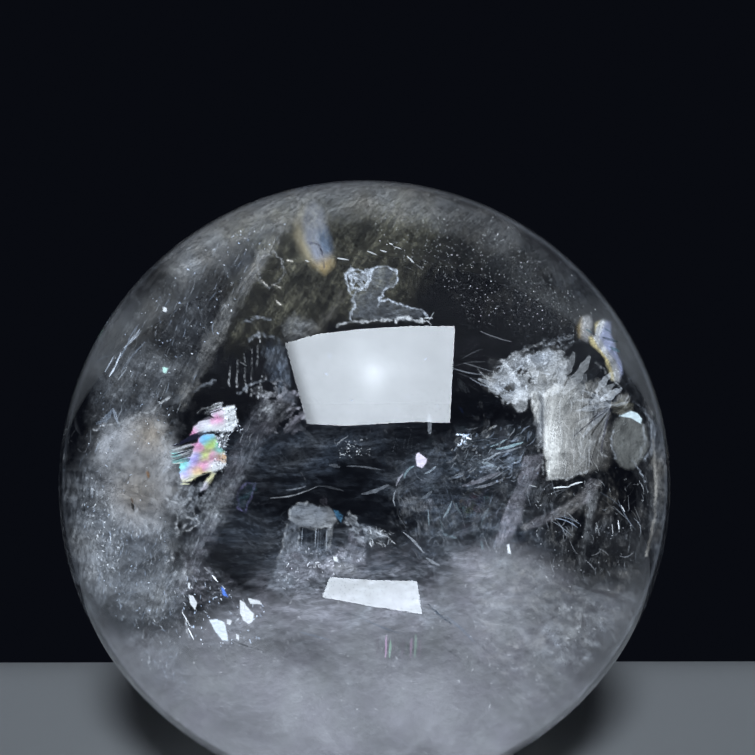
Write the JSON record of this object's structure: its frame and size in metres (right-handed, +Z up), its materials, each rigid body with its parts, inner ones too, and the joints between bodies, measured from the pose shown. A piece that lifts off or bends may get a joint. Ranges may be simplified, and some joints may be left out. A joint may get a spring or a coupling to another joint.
{
  "type": "quartz sphere",
  "caption": "Polished clear rock-crystal sphere with veils, fractures and milky clouds inside, standing on a small ground flat.",
  "frame": {"origin": "middle of the small resting flat on the underside, where the sphere touches the table", "axes": "+Z up through the sphere's centre, -Y towards the viewer of the picture, +X to that viewer's right"},
  "size_m": [0.06, 0.06, 0.0596],
  "materials": {
    "clear_quartz": "polished, colourless and clear, IOR 1.544",
    "milky_inclusion": "white to grey healed fractures, veils and clouds inside the stone"
  },
  "bodies": {
    "root": {"quartz_sphere": "clear_quartz"}
  },
  "joints": []
}
